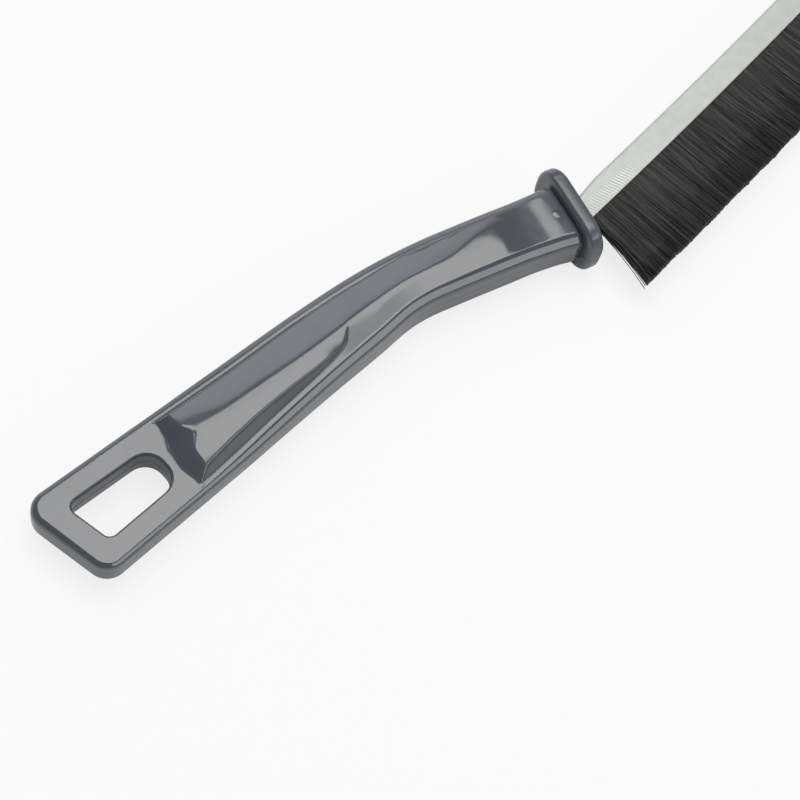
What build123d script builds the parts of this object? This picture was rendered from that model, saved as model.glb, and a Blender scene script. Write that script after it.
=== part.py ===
from build123d import *
from math import cos, pi, radians, sin, tan
import os

# A grout brush that lies on its side. All lengths are millimetres and all angles are degrees.
# While it is drawn, x runs along the grip from the slanted butt end, y = 0 is the grip's centre line with the
# bristles on the negative side, and z = 0 is the parting plane half way through the thickness.

# Handle, seen from above
butt_width = 27.4
waist_width = 18.8
waist_place = 110.1
neck_length = 51.2
neck_end_width = 18.4
neck_drop_angle = 15.1
butt_start = 0.7
butt_slant_angle = 10.8
butt_corner_radius = 5.5
outer_bend_radius = 175.0
inner_bend_radius = 52.0

# Handle, seen from the side
butt_thickness = 8.2
waist_thickness = 12.2
neck_thickness = 13.2
rim_rounding = 1.9

# Hanging hole: its butt end is slanted and its sides narrow like the butt's own
hole_start = 8.4
hole_length = 23.5
hole_side_margin = 6.9
hole_offset = -0.3
hole_butt_corner_radius = 2.2
hole_neck_corner_radius = 5.1
hole_edge_rounding = 0.5

# Raised crown on both faces of the grip
crown_gap = 3.6
crown_length = 88.4
crown_inset = 0.8
crown_flank_angle = 23.0
crown_nose_radius = 4.0
crown_half_span = 8.5
crown_height = 8.05
crown_edge_height = 6.9

# Stations along the crown: share of its length, of its crest height and of its edge height
crown_shares = (
    (-0.01, 0.32, 0.26),
    (0.02, 0.60, 0.54),
    (0.045, 0.82, 0.78),
    (0.08, 0.945, 0.94),
    (0.16, 0.995, 1.0),
    (0.33, 1.0, 0.985),
    (0.6, 0.913, 0.884),
    (0.85, 0.84, 0.833),
    (1.02, 0.764, 0.8),
)

# Collar at the front of the neck
collar_width = 28.0
collar_depth = 18.0
collar_corner_radius = 7.2
collar_thickness = 4.6
collar_rim_rounding = 1.6

# Steel channel: straight tang in the neck, bend in the collar, then the long gently curved head
channel_height = 7.8
channel_thickness = 3.6
sheet_thickness = 0.45
fold_radius = 1.3
tang_length = 27.0
tang_bend_radius = 14.0
head_length = 114.0
head_start_angle = 4.3
head_end_angle = 6.7
socket_clearance = 0.08

# Pin through the neck and the tang
pin_diameter = 3.0
pin_setback = 3.0
pin_clearance = 0.03
pin_dome = 0.25

# Core wire and the bristles folded over it
wire_diameter = 1.5
wire_clearance = 0.03
wire_cover = 0.35
pack_clearance = 0.05
pack_toe_gap = 0.8
pack_heel_gap = 2.6
bristle_length = 22.8
strand_size = 0.55
strand_rows = 4
strand_pitch = 1.02
strand_embed = 1.0
row_splay_angle = 1.1
heel_lean_angle = 15.0
heel_lean_length = 9.0
wide_clump_angle = 0.8
wide_clump_length = 9.7
small_clump_angle = 0.3
small_clump_length = 5.3
trim_variation = 0.25
trim_wave_length = 3.7

# Cuts and construction bodies reach this far past the surface that they act on
overrun = 2.0

# Places worked out from the sizes above
neck_direction = Vector(cos(radians(neck_drop_angle)), -sin(radians(neck_drop_angle)))
neck_left = Vector(sin(radians(neck_drop_angle)), cos(radians(neck_drop_angle)))
bend_point = Vector(waist_place, 0)
neck_end = bend_point + neck_direction * neck_length
collar_front = neck_end + neck_direction * collar_thickness
pin_point = neck_end - neck_direction * pin_setback
half_height = channel_height / 2
through_cut = neck_thickness / 2 + overrun
hole_end = hole_start + hole_length
crown_start = hole_end + crown_gap

# The channel bends at the collar's front, and its head then follows one long arc
tang_bend_angle = head_start_angle + neck_drop_angle
bend_run = tang_bend_radius * tan(radians(tang_bend_angle) / 2)
head_curve_angle = head_end_angle - head_start_angle
head_radius = head_length / radians(head_curve_angle)
head_forward = Vector(cos(radians(head_start_angle)), sin(radians(head_start_angle)))
bend_start = collar_front - neck_direction * bend_run
head_start = collar_front + head_forward * bend_run

# The bristle pack fills the channel from its fold to its mouth
pack_thickness = channel_thickness - 2 * (sheet_thickness + pack_clearance)
pack_fold = half_height - sheet_thickness - pack_clearance
pack_first = pack_heel_gap
pack_last = head_length - pack_toe_gap
wire_shift = wire_cover + wire_diameter / 2 - pack_fold


def side_half_width(place):
    """Half the grip's width at a place along it."""
    return (butt_width + (waist_width - butt_width) * place / waist_place) / 2


def slanted_corner(start, inset, side):
    """The left (1) or right (-1) corner of a slanted end that crosses the centre line at a start."""
    place = start - side * (side_half_width(start) - inset) * tan(radians(butt_slant_angle))
    return Vector(place, side * (side_half_width(place) - inset))


def outline_corners(reach):
    """The handle's corners on its left and right sides, from the butt to a place past the neck's end."""
    far = neck_end + neck_direction * reach
    left = [
        slanted_corner(butt_start, 0, 1),
        Vector(waist_place, waist_width / 2),
        far + neck_left * (neck_end_width / 2),
    ]
    right = [
        far - neck_left * (neck_end_width / 2),
        Vector(waist_place, -waist_width / 2),
        slanted_corner(butt_start, 0, -1),
    ]
    return left, right


def hole_corners():
    """The hanging hole's corners: left and right at the butt end, then right and left at the neck end."""
    centre = Vector(0, hole_offset)
    end_half = side_half_width(hole_end) - hole_side_margin
    return [
        centre + slanted_corner(hole_start, hole_side_margin, 1),
        centre + slanted_corner(hole_start, hole_side_margin, -1),
        centre + Vector(hole_end, -end_half),
        centre + Vector(hole_end, end_half),
    ]


def head_heading(run):
    """The head's direction in degrees, at a distance along it from the bend."""
    return head_start_angle + head_curve_angle * run / head_length


def head_point(run, shift):
    """A place along the head, shifted square to it towards the bristles."""
    start = radians(head_start_angle)
    turned = radians(head_heading(run))
    along = Vector(sin(turned) - sin(start), cos(start) - cos(turned)) * head_radius
    return head_start + along + Vector(sin(turned), -cos(turned)) * shift


def tang_line(shift):
    """The tang's straight run and its bend, shifted towards the bristles."""
    bend_place = bend_start - neck_left * shift
    tang = Line(bend_place - neck_direction * (tang_length - bend_run), bend_place)
    return JernArc(tang @ 1, tang % 1, tang_bend_radius + shift, tang_bend_angle)


def head_line(shift, first, last):
    """The head's line between two distances from the bend, shifted towards the bristles."""
    heading = radians(head_heading(first))
    turn = head_heading(last) - head_heading(first)
    return JernArc(head_point(first, shift), (cos(heading), sin(heading)), head_radius + shift, turn)


def square_plane(line):
    """A plane square to the start of a line: first axis towards the bristles, second axis up."""
    forward = line % 0
    return Plane(origin=line @ 0, x_dir=Vector(forward.Y, -forward.X), z_dir=-forward)


# Crown: a raised pad with steep flanks and a gently convex top, alike on both faces
with BuildPart() as crown:
    nose_half = side_half_width(crown_start) - crown_inset
    waist_half = waist_width / 2 - crown_inset
    crown_tail = bend_point + neck_direction * (crown_start + crown_length - waist_place)
    with BuildSketch():
        with BuildLine():
            Polyline(
                Vector(crown_start - overrun, -nose_half),
                Vector(waist_place, -waist_half),
                crown_tail - neck_left * waist_half,
                crown_tail + neck_left * waist_half,
                Vector(waist_place, waist_half),
                Vector(crown_start - overrun, nose_half),
                close=True,
            )
        make_face()
        fillet(vertices().group_by(Axis.X)[0], crown_nose_radius)
    extrude(amount=crown_height + overrun, taper=crown_flank_angle)
    for place_share, crest_share, edge_share in crown_shares:
        crest = crown_height * crest_share
        edge = crown_edge_height * edge_share
        with BuildSketch(Plane.YZ.offset(crown_start + crown_length * place_share)):
            with BuildLine():
                top = ThreePointArc((-crown_half_span, edge), (0, crest), (crown_half_span, edge))
                Line(top @ 1, (crown_half_span, -edge))
                low = ThreePointArc((crown_half_span, -edge), (0, -crest), (-crown_half_span, -edge))
                Line(low @ 1, top @ 0)
            make_face()
    loft(ruled=True, mode=Mode.INTERSECT)
    mirror(about=Plane.XY)

# Collar: a thick rounded plate square to the neck
with BuildPart() as collar:
    with BuildSketch(Plane(origin=neck_end, x_dir=neck_left, z_dir=neck_direction)):
        RectangleRounded(collar_width, collar_depth, collar_corner_radius)
    extrude(amount=collar_thickness)
    across_neck = collar.faces().sort_by(Axis(neck_end, neck_direction))
    fillet(across_neck[0].edges() + across_neck[-1].edges(), collar_rim_rounding)

# Handle: the outline seen from above, cut to the thickness seen from the side, with a rounded rim
with BuildPart() as handle:
    left_side, right_side = outline_corners(collar_thickness / 2)
    with BuildSketch():
        with BuildLine():
            Polyline(*left_side, *right_side, close=True)
        make_face()
        fillet(vertices().sort_by(Axis.X)[:2], butt_corner_radius)
        fillet(vertices().sort_by_distance(left_side[1])[0], outer_bend_radius)
        fillet(vertices().sort_by_distance(right_side[1])[0], inner_bend_radius)
    extrude(amount=through_cut, both=True)
    with BuildSketch(Plane.XZ):
        with BuildLine():
            profile_start = left_side[0].X - overrun
            flat = Line((profile_start, butt_thickness / 2), (crown_start, butt_thickness / 2))
            slope = Spline(
                flat @ 1,
                (waist_place, waist_thickness / 2),
                (collar_front.X + overrun, neck_thickness / 2),
                tangents=[(1, 0), (1, 0)],
            )
            Polyline(slope @ 1, (collar_front.X + overrun, 0), (profile_start, 0), flat @ 0)
        make_face()
        mirror(about=Plane.XZ)
    extrude(amount=waist_place, both=True, mode=Mode.INTERSECT)
    covered_edges = handle.faces().sort_by(Axis.X)[-1].edges()
    rim_edges = handle.edges().filter_by(lambda edge: abs((edge % 0.5).Z) < 0.5)
    fillet([edge for edge in rim_edges if edge not in covered_edges], rim_rounding)
    with BuildSketch():
        with BuildLine():
            Polyline(*hole_corners(), close=True)
        make_face()
        fillet(vertices().group_by(Axis.X)[-1], hole_neck_corner_radius)
        fillet(vertices().sort_by(Axis.X)[:2], hole_butt_corner_radius)
    extrude(amount=through_cut, both=True, mode=Mode.SUBTRACT)
    hole_rims = handle.edges(Select.LAST).filter_by(lambda edge: abs((edge % 0.5).Z) < 0.5)
    fillet(hole_rims, hole_edge_rounding)
    add(crown.part)
    add(collar.part)
    with BuildLine() as socket_line:
        tang_line(0)
    with BuildSketch(square_plane(socket_line.line)):
        socket_height = channel_height + 2 * socket_clearance
        socket_thickness = channel_thickness + 2 * socket_clearance
        Rectangle(socket_height, socket_thickness)
    sweep(path=socket_line.line, mode=Mode.SUBTRACT)
    with BuildSketch():
        with Locations(pin_point):
            Circle(pin_diameter / 2 + pin_clearance)
    extrude(amount=through_cut, both=True, mode=Mode.SUBTRACT)

# Retaining pin: crosses the neck and the tang, with a slightly domed end on each face
with BuildPart() as retaining_pin:
    with BuildSketch():
        with Locations(pin_point):
            Circle(pin_diameter / 2)
    extrude(amount=neck_thickness / 2 + pin_dome, both=True)
    fillet(retaining_pin.edges().filter_by(GeomType.CIRCLE), pin_dome)

# Channel: a strip folded round the bristles, with its tang bent into line with the neck
with BuildPart() as brush_channel:
    with BuildLine() as channel_line:
        bend = tang_line(0)
        JernArc(bend @ 1, bend % 1, head_radius, head_curve_angle)
    with BuildSketch(square_plane(channel_line.line)):
        Rectangle(channel_height, channel_thickness)
        fillet(vertices().group_by(Axis.X)[0], fold_radius)
        inside_height = channel_height - sheet_thickness + overrun
        with Locations((sheet_thickness - half_height, 0)):
            Rectangle(
                inside_height,
                channel_thickness - 2 * sheet_thickness,
                align=(Align.MIN, Align.CENTER),
                mode=Mode.SUBTRACT,
            )
    sweep(path=channel_line.line)
    with BuildSketch():
        with Locations(pin_point):
            Circle(pin_diameter / 2 + pin_clearance)
    extrude(amount=through_cut, both=True, mode=Mode.SUBTRACT)

# Core wire: lies at the bottom of the channel, inside the folded bristles
with BuildPart() as core_wire:
    with BuildLine() as wire_line:
        head_line(wire_shift, pack_first, pack_last)
    with BuildSketch(square_plane(wire_line.line)):
        Circle(wire_diameter / 2)
    sweep(path=wire_line.line)

# Bristles: one bank of straight strands that stand on the pack folded into the channel
strand_planes = []
strand_count = int((pack_last - pack_first - strand_size) / strand_pitch)
row_pitch = (pack_thickness - strand_size) / (strand_rows - 1)
for column in range(strand_count):
    travel = strand_size + strand_pitch * column
    run = pack_first + travel
    lean = wide_clump_angle * sin(2 * pi * travel / wide_clump_length)
    lean += small_clump_angle * sin(2 * pi * travel / small_clump_length)
    lean -= heel_lean_angle * max(0, 1 - travel / heel_lean_length) ** 2
    heading = radians(head_heading(run) - 90 + lean)
    trim = trim_variation * sin(2 * pi * travel / trim_wave_length)
    foot = head_point(run, half_height - strand_embed + trim)
    for row in range(strand_rows):
        middle_row = row - (strand_rows - 1) / 2
        splay = radians(row_splay_angle * middle_row)
        strand_planes.append(
            Plane(
                origin=(foot.X, foot.Y, row_pitch * middle_row),
                x_dir=(-sin(heading), cos(heading), 0),
                z_dir=(cos(heading) * cos(splay), sin(heading) * cos(splay), sin(splay)),
            )
        )

with BuildPart() as bristles:
    with BuildLine() as pack_line:
        head_line(0, pack_first, pack_last)
    with BuildSketch(square_plane(pack_line.line)):
        with Locations((-pack_fold, 0)):
            Rectangle(pack_fold + half_height, pack_thickness, align=(Align.MIN, Align.CENTER))
        with Locations((wire_shift, 0)):
            Circle(wire_diameter / 2 + wire_clearance, mode=Mode.SUBTRACT)
    sweep(path=pack_line.line)
    with BuildSketch(*strand_planes):
        Rectangle(strand_size, strand_size)
    extrude(amount=bristle_length + strand_embed)

# The brush rests on its side: z = 0 is its lowest point, and the origin lies under the middle of its outline
pieces = {
    "handle": handle,
    "retaining_pin": retaining_pin,
    "brush_channel": brush_channel,
    "core_wire": core_wire,
    "bristles": bristles,
}
extent = Compound([piece.part for piece in pieces.values()]).bounding_box()
resting_place = Location((-extent.center().X, -extent.center().Y, -extent.min.Z))
os.makedirs("parts", exist_ok=True)
for name, piece in pieces.items():
    piece.part.label = name
    piece.part.locate(resting_place)
    export_step(piece.part, "parts/" + name + ".step")
    print(name, len(piece.solids()), "solids", round(piece.part.volume, 1), "cubic mm", piece.part.is_valid)
print("strands", len(strand_planes), "moved by", resting_place.position)
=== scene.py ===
import bpy
import numpy as np
from math import cos, pi, radians, sin, tan
from mathutils import Matrix, Vector
from mathutils.geometry import delaunay_2d_cdt


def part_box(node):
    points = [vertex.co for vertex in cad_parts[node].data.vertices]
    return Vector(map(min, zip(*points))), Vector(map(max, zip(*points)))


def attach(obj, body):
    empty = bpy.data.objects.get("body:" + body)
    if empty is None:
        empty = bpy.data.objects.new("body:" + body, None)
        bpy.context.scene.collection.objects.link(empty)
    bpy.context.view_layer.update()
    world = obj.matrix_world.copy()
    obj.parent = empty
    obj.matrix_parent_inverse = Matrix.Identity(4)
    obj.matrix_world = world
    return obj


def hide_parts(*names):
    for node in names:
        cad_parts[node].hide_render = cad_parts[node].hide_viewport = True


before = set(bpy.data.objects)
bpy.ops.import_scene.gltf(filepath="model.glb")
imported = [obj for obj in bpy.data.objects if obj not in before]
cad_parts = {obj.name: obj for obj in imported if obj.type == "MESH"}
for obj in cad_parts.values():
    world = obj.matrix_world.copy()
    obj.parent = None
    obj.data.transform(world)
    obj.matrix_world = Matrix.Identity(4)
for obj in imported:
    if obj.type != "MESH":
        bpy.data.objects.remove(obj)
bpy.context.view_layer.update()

# Shapes are drawn in millimetres with the butt end at x = 0, the grip's centre line on y = 0 and the
# parting plane on z = 0, and placed in the frame, which is in metres, by the pin
MM = 0.001

# Least steps and widest spacing on a rounded corner, and guards for a division and for merged points
ROUND_STEPS = 4
ROUND_SPACING = 0.5
TINY = 1e-9
MERGE_DISTANCE = 1e-6

# Handle, seen from above
BUTT_WIDTH = 27.4
WAIST_WIDTH = 18.8
WAIST_PLACE = 110.1
NECK_LENGTH = 51.2
NECK_END_WIDTH = 18.4
NECK_DROP = radians(15.1)
BUTT_START = 0.7
BUTT_SLANT = radians(10.8)
BUTT_CORNER_RADIUS = 5.5
OUTER_BEND_RADIUS = 175.0
INNER_BEND_RADIUS = 52.0
CENTRE_BEND_RADIUS = 112.0

# How far each side swells out of those lines, at the butt and at places along the handle
BUTT_SWELLS = (-0.2, -0.05)
SIDE_PLACES = (28.0, 50.0, 60.0, 80.0, 98.0, 112.0, 130.0, 146.0, 155.0, 161.3)
LEFT_SWELLS = (-0.05, 0.0, -0.05, -0.15, -0.42, -0.42, -0.3, -0.25, -0.15, 0.1)
RIGHT_SWELLS = (0.2, 0.35, 0.22, 0.03, 0.25, -0.1, -0.15, 0.0, 0.5, 1.2)

# Half thickness of the flat rim's face at places along the handle
PLATE_PLACES = (0.0, 35.6, 58.0, 70.0, 82.0, 95.0, 110.1, 140.5, 148.5, 152.0, 158.0, 161.3)
PLATE_HALVES = (4.1, 4.1, 4.75, 5.35, 5.8, 6.05, 6.2, 6.42, 6.15, 6.13, 6.25, 6.25)

# The rim's edge at places along the handle, for the left and the right side: a round above the wall,
# a steep and a shallow facet, and a round below the face
RIM_PLACES = (30.0, 60.0, 80.0, 106.0, 135.0, 161.3)
LEFT_WALL_RADII = (1.95, 1.9, 2.2, 2.3, 2.4, 2.4)
LEFT_STEEP_FACETS = (0.5, 0.8, 0.9, 1.0, 1.2, 1.2)
LEFT_SHALLOW_FACETS = (0.2, 0.3, 0.05, 0.1, 0.1, 0.1)
RIGHT_WALL_RADII = (1.1, 1.25, 1.25, 1.5, 1.7, 2.0)
RIGHT_STEEP_FACETS = (0.5, 0.95, 1.2, 1.3, 1.2, 1.2)
RIGHT_SHALLOW_FACETS = (0.1, 0.4, 0.3, 0.3, 0.7, 0.8)
RIM_FACE_RADII = (0.5, 0.6, 0.6, 0.8, 1.0, 1.0)
STEEP_SLOPE = radians(35)
SHALLOW_SLOPE = radians(25)
RIM_FLAT = 0.15
RIM_DRAFT = 0.05
RIM_DRAFT_SHARES = (0.33, 0.67)
PARTING_RIDGE = 0.015
PARTING_RIDGE_SHARE = 0.6
PARTING_BAND = 0.14
PARTING_BAND_SHARE = 0.5
WALL_ROUND_STEPS = 7
FACET_ROUND_STEPS = 2
FACE_ROUND_STEPS = 4
FACET_SHARES = (0.12, 0.5, 0.88, 1.0)

# Crown on both faces of the grip: its crest, and how each half falls away from it
CROWN_PLACES = (30.0, 42.0, 50.0, 58.0, 66.0, 89.0, 111.0, 126.0, 134.0, 140.0, 146.0, 165.0)
CROWN_HALVES = (7.5, 7.85, 8.04, 8.05, 8.02, 7.52, 7.3, 7.2, 7.2, 7.0, 6.3, 5.9)
CREST_PLACES = (35.0, 41.0, 50.0, 60.0, 80.0, 100.0, 110.0, 120.0, 126.0, 130.0, 137.6, 141.7)
CREST_SHIFTS = (0.9, 0.6, -0.3, -0.9, -1.8, -2.0, -2.3, -2.7, -2.6, -1.6, 0.7, 2.6)
CREST_ROUNDING = 0.7
FALL_PLACES = (40.0, 47.0, 54.0, 66.0, 79.0, 90.0, 111.0, 130.0)
LEFT_FALLS = (0.05, 0.08, 0.105, 0.11, 0.113, 0.115, 0.11, 0.10)
LEFT_CURVES = (0.008, 0.006, 0.005, 0.005, 0.005, 0.005, 0.003, 0.002)
RIGHT_FALLS = (-0.04, -0.045, -0.05, -0.05, 0.04, 0.26, -0.03, -0.02)
RIGHT_CURVES = (0.021, 0.022, 0.023, 0.024, 0.02, 0.005, 0.02, 0.012)
LEFT_LEDGE_PLACES = (100.0, 116.0)
LEFT_LEDGES = (0.8, 0.0)
RIGHT_LEDGE_PLACES = (70.0, 81.0, 86.0, 90.0, 96.0)
RIGHT_LEDGES = (0.8, 1.1, 1.7, 4.0, 12.0)
LEFT_FLANK_SLOPE = 2.3
RIGHT_FLANK_SLOPE = 1.25
RIGHT_FLANK_BLEND = 0.28
RIGHT_RAMP_PLACES = (68.0, 78.0, 85.0, 90.0, 96.0, 104.0, 112.0, 120.0, 128.0, 134.0, 141.0, 147.0)
RIGHT_RAMP_SLOPES = (0.0, 0.12, 0.24, 0.28, 0.27, 0.26, 0.24, 0.2, 0.14, 0.1, 0.07, 0.0)
NOSE_LATERALS = (-9.0, -4.0, 0.7, 4.4, 8.6)
NOSE_FEET = (34.8, 34.2, 35.2, 36.7, 37.4)
NOSE_SLOPES = (0.75, 0.8, 0.6, 1.05, 1.2)
FOOT_PLACES = (95.0, 110.0)
FOOT_BLENDS = (0.8, 0.2)
RIGHT_FOOT_BLEND = 0.05
BROW_BLEND = 0.7

# Hanging hole
HOLE_START = 8.4
HOLE_LENGTH = 23.5
HOLE_SIDE_MARGIN = 6.9
HOLE_OFFSET = -0.3
HOLE_BUTT_CORNER_RADIUS = 2.2
HOLE_NECK_CORNER_RADIUS = 5.1
HOLE_EDGE_ROUNDING = 0.5
HOLE_EDGE_STEP = 0.16
HOLE_CORNER_POINTS = 15
HOLE_EDGE_POINTS = 7

# The hole's wall: a step below its edge, as shares of the step and how far out each stands, and then
# how far out the wall stands at heights over the parting line
HOLE_STEP_SHARES = (1.0, 1.6, 2.4)
HOLE_STEP_GROWTHS = (HOLE_EDGE_STEP, 0.0, -0.02)
HOLE_WALL = ((-0.1, 0.45), (-0.11, 0.2), (-0.2, 0.08), (-0.2, 0.0))

# Collar
COLLAR_WIDTH = 28.0
COLLAR_DEPTH = 18.0
COLLAR_CORNER_RADIUS = 7.2
COLLAR_THICKNESS = 4.6
COLLAR_ROUNDING = 1.5
COLLAR_FILLET = 1.3
COLLAR_FILLET_POINTS = 7
COLLAR_ROUND_POINTS = 9
COLLAR_BACK_SHARES = (0.35, 0.7)
COLLAR_FRONT_SHARES = (0.33, 0.67, 0.93)

# Channel and head
CHANNEL_HEIGHT = 7.8
CHANNEL_THICKNESS = 3.6
SHEET_THICKNESS = 0.45
FOLD_RADIUS = 1.3
TANG_BEND_RADIUS = 14.0
HEAD_LENGTH = 114.0
HEAD_START_ANGLE = 4.3
HEAD_END_ANGLE = 6.7
SOCKET_CLEARANCE = 0.08
SOCKET_DEPTHS = (0.2, 6.0)

# Pin: its shoulder, the rounded edge above it and the slight dome of its end
PIN_DIAMETER = 3.0
PIN_SETBACK = 3.0
PIN_DOME = 0.15
PIN_SHOULDER = 0.32
PIN_EDGE_INSET = 0.3
PIN_EDGE_RISE = 0.24
PIN_EDGE_POINTS = 7
PIN_CAP_FALL = 0.08
PIN_CAP_SHARES = (0.6, 0.3, 0.08)
PIN_SIDES = 48

# Bristles
BRISTLE_LENGTH = 22.8
FILAMENT_DIAMETER = 0.25
FILAMENT_COLUMNS = 640
FILAMENT_ROWS = 10
FILAMENT_SIDES = 3
BRISTLE_SEED = 11
COLUMN_MARGIN = 0.15
PACK_HALF_THICKNESS = 1.3
PACK_HEEL_START = -0.5
PACK_TOE_GAP = 0.8
FOLD_START = 0.9
FOLD_HALF_THICKNESS = 0.82
FOLD_GROWTH = 0.4
FAN_ANGLE = 1.6
HEEL_SWEEP = 3.4
HEEL_ROOT_SHARE = 0.1
HEEL_SWEEP_RUN = 4.0
HEEL_LENGTH = 13.0
HEEL_STRAGGLE = 6.0

# Slow wanders along the head, each with its length and size, and the scatter of single filaments
COLUMN_WANDERS = ((1.2, 0.14),)
LEAN_WANDERS = ((5.5, 1.1), (1.7, 0.9))
CURL_WANDERS = ((3.1, 0.25),)
TRIM_WANDERS = ((4.0, 0.08), (1.1, 0.06))
RUN_SCATTER = 0.05
LEAN_SCATTER = 0.35
FAN_SCATTER = 0.35
DEPTH_SCATTER = 0.03
TRIM_SCATTER = 0.04
CURL_SCATTER = 0.06

# Points along a filament: more of them at the heel, where it curves
HEEL_SHARES = (0.08, 0.18, 0.32, 0.5, 0.75, 1.0)
STRAIGHT_SHARES = (0.5, 1.0)

# Camera: its aim in the drawing, its distance and near limit in metres, its direction and its roll
CAMERA_AIM = (89.425, -23.672, 0.0)
CAMERA_DISTANCE = 0.5
CAMERA_NEAR = 0.01
CAMERA_TILT = radians(28)
CAMERA_AZIMUTH = radians(-150.0575)
CAMERA_ROLL = radians(18)
CAMERA_LENS = 90.0
SENSOR_WIDTH = 36.0

# The handle's axes, the neck's end and the pin in the drawing
neck_along = np.array([cos(NECK_DROP), -sin(NECK_DROP), 0.0])
neck_left = np.array([sin(NECK_DROP), cos(NECK_DROP), 0.0])
bend_point = np.array([WAIST_PLACE, 0.0, 0.0])
neck_end = bend_point + neck_along * NECK_LENGTH
pin_point = neck_end - neck_along * PIN_SETBACK
pin_low, pin_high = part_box("retaining_pin")
drawing_shift = np.array((pin_low + pin_high) / 2) - pin_point * MM


def to_frame(points):
    """Drawing millimetres to the frame's metres."""
    return np.asarray(points, float) * MM + drawing_shift


def new_mesh(name, points, faces):
    """A mesh object from drawing points and faces."""
    data = bpy.data.meshes.new(name)
    data.from_pydata(to_frame(points).tolist(), [], [list(map(int, face)) for face in faces])
    data.validate()
    data.update()
    data.polygons.foreach_set("use_smooth", [True] * len(data.polygons))
    piece = bpy.data.objects.new(name, data)
    bpy.context.scene.collection.objects.link(piece)
    return piece


def smooth_low(first, second, blend):
    """The lower of two heights, with their crossing rounded over a blend."""
    near = np.maximum(blend - np.abs(first - second), 0) / blend
    return np.minimum(first, second) - near**2 * blend / 4


def smooth_high(first, second, blend):
    return -smooth_low(-first, -second, blend)


def clamped_curve(place, places, heights):
    """A smooth curve through a few heights, level at both ends."""
    places = np.array(places, float)
    heights = np.array(heights, float)
    gaps = np.diff(places)
    rates = np.diff(heights) / gaps
    slopes = np.zeros(len(places))
    for index in range(1, len(places) - 1):
        before, after = rates[index - 1], rates[index]
        if before * after > 0:
            slopes[index] = 2 * before * after / (before + after)
    place = np.clip(place, places[0], places[-1])
    span = np.clip(np.searchsorted(places, place) - 1, 0, len(gaps) - 1)
    share = (place - places[span]) / gaps[span]
    rise = 3 * share**2 - 2 * share**3
    lead_in = (share - 2 * share**2 + share**3) * gaps[span] * slopes[span]
    lead_out = (share**3 - share**2) * gaps[span] * slopes[span + 1]
    return heights[span] + (heights[span + 1] - heights[span]) * rise + lead_in + lead_out


def rounded_path(corners, radii, spacing):
    """Evenly spaced points along straight runs whose inner corners are rounded."""
    corners = [np.array(corner, float) for corner in corners]
    runs = []
    start = corners[0]
    for before, corner, after, radius in zip(corners, corners[1:], corners[2:], radii):
        arrive = (corner - before) / np.linalg.norm(corner - before)
        leave = (after - corner) / np.linalg.norm(after - corner)
        turn = np.arccos(np.clip(arrive @ leave, -1, 1))
        reach = radius * tan(turn / 2)
        first, last = corner - arrive * reach, corner + leave * reach
        side = leave - arrive * (arrive @ leave)
        side = side / np.linalg.norm(side)
        centre = first + side * radius
        runs.append(straight_run(start, first, spacing))
        steps = max(ROUND_STEPS, int(radius * turn / min(spacing, ROUND_SPACING)))
        angles = np.linspace(0, turn, steps + 1)[:-1]
        swing = np.outer(np.sin(angles), arrive) - np.outer(np.cos(angles), side)
        runs.append(centre + swing * radius)
        start = last
    runs.append(straight_run(start, corners[-1], spacing))
    return np.vstack(runs + [corners[-1][None]])


def straight_run(start, end, spacing):
    steps = max(1, int(np.linalg.norm(end - start) / spacing))
    shares = np.linspace(0, 1, steps + 1)[:-1, None]
    return start + (end - start) * shares


def crossing(path, centre, along):
    """Where a path crosses the line through a centre, square to a direction."""
    reach = (path - centre) @ along
    for index in np.flatnonzero((reach[:-1] <= 0) & (reach[1:] > 0)):
        share = -reach[index] / (reach[index + 1] - reach[index])
        return path[index] + (path[index + 1] - path[index]) * share


def turned_left(directions):
    return np.stack([-directions[:, 1], directions[:, 0]], axis=1)


# Handle: spacings of the points on its lines, in millimetres
STATION_START = 33.2
STATION_SPACING = 0.5
SIDE_SPACING = 0.2
CENTRE_SPACING = 0.1
BUTT_SPACING = 0.8
LOOK_AHEAD = 0.3
NECK_OVERREACH = 4.0
ACROSS_STEPS = 72
EDGE_CROWDING = 0.7


def side_half_width(place):
    """Half the grip's width at a place along it."""
    return (BUTT_WIDTH + (WAIST_WIDTH - BUTT_WIDTH) * place / WAIST_PLACE) / 2


def slanted_corner(start, inset, side):
    """The left (1) or right (-1) corner of a slanted end that crosses the centre line at a start."""
    place = start - side * (side_half_width(start) - inset) * tan(BUTT_SLANT)
    return np.array([place, side * (side_half_width(place) - inset)])


def handle_sides():
    """The two long sides of the outline and its centre line, in the plane."""
    far = (neck_end + neck_along * NECK_OVERREACH)[:2]
    side = neck_left[:2] * NECK_END_WIDTH / 2
    left = [(0, BUTT_WIDTH / 2), (WAIST_PLACE, WAIST_WIDTH / 2), far + side]
    right = [(0, -BUTT_WIDTH / 2), (WAIST_PLACE, -WAIST_WIDTH / 2), far - side]
    centre = [(0, 0), (WAIST_PLACE, 0), far]
    return (
        rounded_path(left, [OUTER_BEND_RADIUS], SIDE_SPACING),
        rounded_path(right, [INNER_BEND_RADIUS], SIDE_SPACING),
        rounded_path(centre, [CENTRE_BEND_RADIUS], CENTRE_SPACING),
    )


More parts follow.
